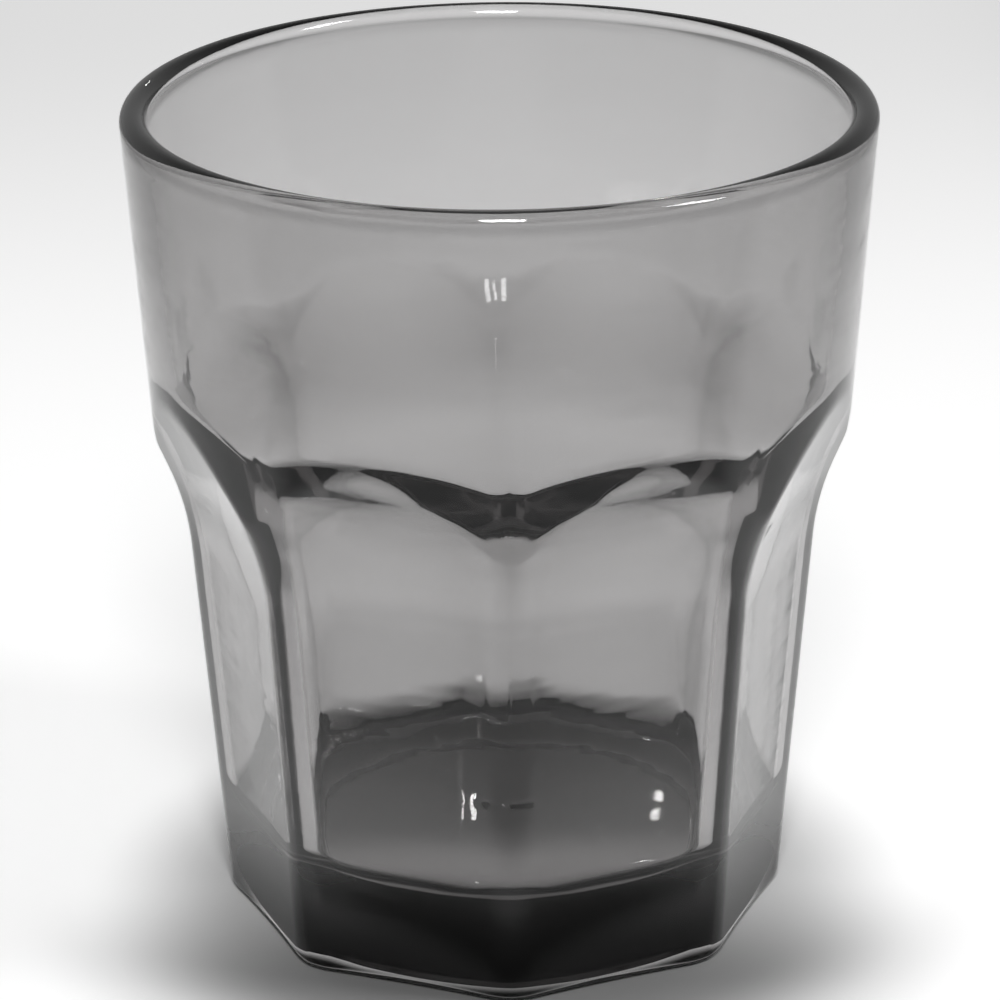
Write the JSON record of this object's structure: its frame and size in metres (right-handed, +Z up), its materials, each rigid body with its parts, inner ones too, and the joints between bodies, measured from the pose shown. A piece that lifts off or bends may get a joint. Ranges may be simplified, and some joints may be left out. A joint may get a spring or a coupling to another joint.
{
  "type": "whiskey tumbler",
  "caption": "Transparent smoke-grey moulded rocks tumbler with a round collar, arched flat panels below it and a thick base.",
  "frame": {"origin": "centre of the underside, on the surface that the tumbler stands on", "axes": "+Z up along the axis towards the rim; one ridge between two panels points along each of +X, -X, +Y and -Y"},
  "size_m": [0.0836, 0.0836, 0.095],
  "materials": {
    "smoke_plastic": "polished, transparent, smoke-grey tint"
  },
  "bodies": {
    "root": {"tumbler_body": "smoke_plastic"}
  },
  "joints": []
}
